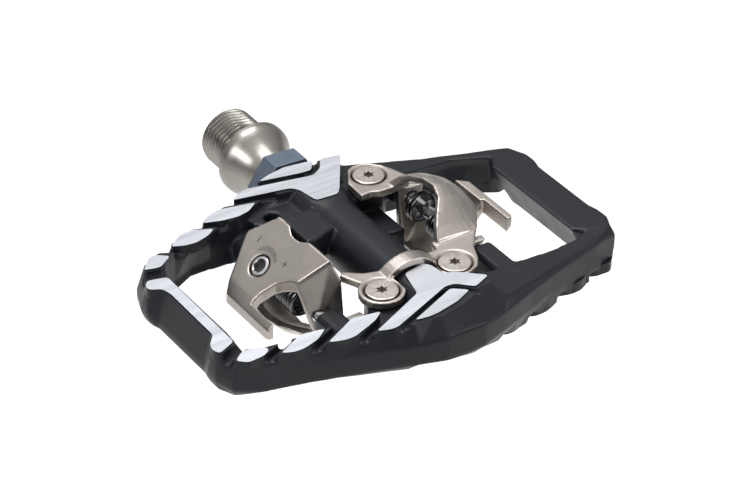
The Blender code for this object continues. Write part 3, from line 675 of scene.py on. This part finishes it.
def build_rear_claw(side):
    """The cast claw with its bolt hole and scale, and its bolt, nut and pin."""
    spot, normal = joint(f"bolt_{side}_turn")
    place = facing(spot, normal)
    mesh = rounded(cad_mesh("rear_claw_" + side), CLAW_STEP, 16 if FINE else 4)
    hole = cylinder(BOLT_HOLE_RADIUS, place @ Vector((0, 0, -2.0 * MM)), place @ Vector((0, 0, 3 * MM)), 64)
    mesh = cut_by(mesh, hole)
    claw = new_piece("cast_rear_claw_" + side, mesh, CLAW, sharp=50)
    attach(claw, "claw_" + side)
    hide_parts("rear_claw_" + side)
    marks = new_piece("tension_scale_" + side, scale_marks(place, claw.data), MARK_AND_SOCKET_SHADE, sharp=30)
    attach(marks, "claw_" + side)
    # The bolt's second material is the dark mark colour, given to the faces inside its hex socket as painted
    # shade, so the shallow socket reads as dark as a deep shaded recess.
    bolt = new_piece("socket_bolt_" + side, bolt_mesh(place), BRIGHT, MARK_AND_SOCKET_SHADE, sharp=30)
    for face in bolt.data.polygons:
        inside = place.inverted() @ face.center
        painted_socket_shade = -1.5 * MM < inside.z < -0.5 * MM and inside.xy.length < 1.9 * MM
        face.material_index = int(painted_socket_shade)
    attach(bolt, "bolt_" + side)
    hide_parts("tension_bolt_" + side)
    dress("adjuster_nut_" + side, BRIGHT, bevel=0.25)
    dress("claw_pin_" + side, BRIGHT, bevel=0.2)


def build_spring(side, end):
    """A torsion coil with close round turns, drawn where its CAD solid is."""
    node = f"claw_spring_{side}_{end}"
    low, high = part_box(node)
    pin = joint(f"claw_{side}_open")[0]
    first, last = low.y / MM + SPRING_WIRE, high.y / MM - SPRING_WIRE
    pitch = 2 * SPRING_WIRE + SPRING_GAP
    turns = (last - first) / pitch
    steps = 28 if FINE else 12
    points = []
    for k in range(int(turns * steps) + 1):
        angle = math.tau * k / steps + SPRING_START
        arm = Vector((SPRING_RADIUS * math.cos(angle), 0, SPRING_RADIUS * math.sin(angle))) * MM
        points.append(Vector((pin.x, 0, pin.z)) + arm + Vector((0, (first + pitch * k / steps) * MM, 0)))
    curve = bpy.data.curves.new("coil", "CURVE")
    curve.dimensions = "3D"
    curve.bevel_depth = SPRING_WIRE * MM
    curve.bevel_resolution = 4
    curve.use_fill_caps = True
    spline = curve.splines.new("POLY")
    spline.points.add(len(points) - 1)
    for point, spot in zip(spline.points, points):
        point.co = (*spot, 1.0)
    coil = bpy.data.objects.new("coil", curve)
    bpy.context.scene.collection.objects.link(coil)
    bpy.context.view_layer.update()
    mesh = bpy.data.meshes.new_from_object(coil.evaluated_get(bpy.context.evaluated_depsgraph_get()))
    bpy.data.objects.remove(coil, do_unlink=True)
    spring = new_piece(f"torsion_coil_{side}_{end}", mesh, SPRING, sharp=60)
    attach(spring, "pedal")
    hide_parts(node)


# ---------------------------------------------------------------- stage


CAMERA_AIM = Vector((-4.466, -20.56, 8.869)) * MM
CAMERA_DISTANCE = 0.6814
CAMERA_AZIMUTH = math.radians(-34.05)
CAMERA_ELEVATION = math.radians(34.74)
CAMERA_ROLL = math.radians(0.35)
CAMERA_LENS = 149.05
HORIZON_LEVEL = 0.25
ZENITH_LEVEL = 1.1


def add_camera():
    """A long lens aimed at the pedal from its outboard left, rolled a little about its own axis."""
    a, e, r = CAMERA_AZIMUTH, CAMERA_ELEVATION, CAMERA_ROLL
    back = Vector((math.sin(a) * math.cos(e), -math.cos(a) * math.cos(e), math.sin(e)))
    right = Vector((math.cos(a), math.sin(a), 0))
    up = back.cross(right)
    across = right * math.cos(r) + up * math.sin(r)
    above = up * math.cos(r) - right * math.sin(r)
    data = bpy.data.cameras.new("camera")
    data.lens = CAMERA_LENS
    data.sensor_width = 36
    data.clip_start = 0.01
    camera = bpy.data.objects.new("camera", data)
    bpy.context.scene.collection.objects.link(camera)
    turn = Matrix((across, above, back)).transposed().to_4x4()
    camera.matrix_world = Matrix.Translation(CAMERA_AIM + back * CAMERA_DISTANCE) @ turn
    bpy.context.scene.camera = camera


def add_light(name, place, aim, size, power):
    """A white soft box of that size in metres, at a place, turned to its aim."""
    data = bpy.data.lights.new(name, "AREA")
    data.shape = "RECTANGLE"
    data.size, data.size_y = size
    data.energy = power
    light = bpy.data.objects.new(name, data)
    bpy.context.scene.collection.objects.link(light)
    light.location = place
    light.rotation_euler = (Vector(aim) - Vector(place)).to_track_quat("-Z", "Y").to_euler()


def add_stage():
    """White studio: bright above, dimmer round the horizon, over a pale floor."""
    bpy.context.scene.view_settings.view_transform = "Standard"
    world = bpy.data.worlds.new("studio")
    world.use_nodes = True
    tree = world.node_tree
    split = tree.nodes.new("ShaderNodeSeparateXYZ")
    level = tree.nodes.new("ShaderNodeMapRange")
    level.inputs["To Min"].default_value = HORIZON_LEVEL
    level.inputs["To Max"].default_value = ZENITH_LEVEL
    tree.links.new(tree.nodes.new("ShaderNodeTexCoord").outputs["Generated"], split.inputs["Vector"])
    tree.links.new(split.outputs["Z"], level.inputs["Value"])
    tree.links.new(level.outputs["Result"], tree.nodes["Background"].inputs["Strength"])
    tree.nodes["Background"].inputs["Color"].default_value = (1, 1, 1, 1)
    bpy.context.scene.world = world
    mesh = bpy.data.meshes.new("floor")
    shape = bmesh.new()
    bmesh.ops.create_grid(shape, x_segments=1, y_segments=1, size=12.0)
    shape.to_mesh(mesh)
    shape.free()
    finish = Finish("pale_floor", (0.93, 0.93, 0.93), 0.0, 0.7, specular=0.1)
    floor = new_piece("floor", mesh, finish.material)
    floor.location.z = -0.3
    add_light("overhead", (0.05, 0.25, 0.75), (0, 0, 0), (0.5, 0.5), 4.5)
    add_light("left_key", (-0.7, -0.15, 0.45), (0, 0, 0), (0.4, 0.25), 2.6)
    add_light("front_strip", (0.42, -0.55, 0.26), (0, -0.02, 0), (0.4, 0.12), 1.6)


add_camera()
add_stage()
build_body()
build_spindle_group()
for each_side in SIDES:
    build_front_claw(each_side)
    build_rear_claw(each_side)
    for each_end in ("outboard", "inboard"):
        build_spring(each_side, each_end)
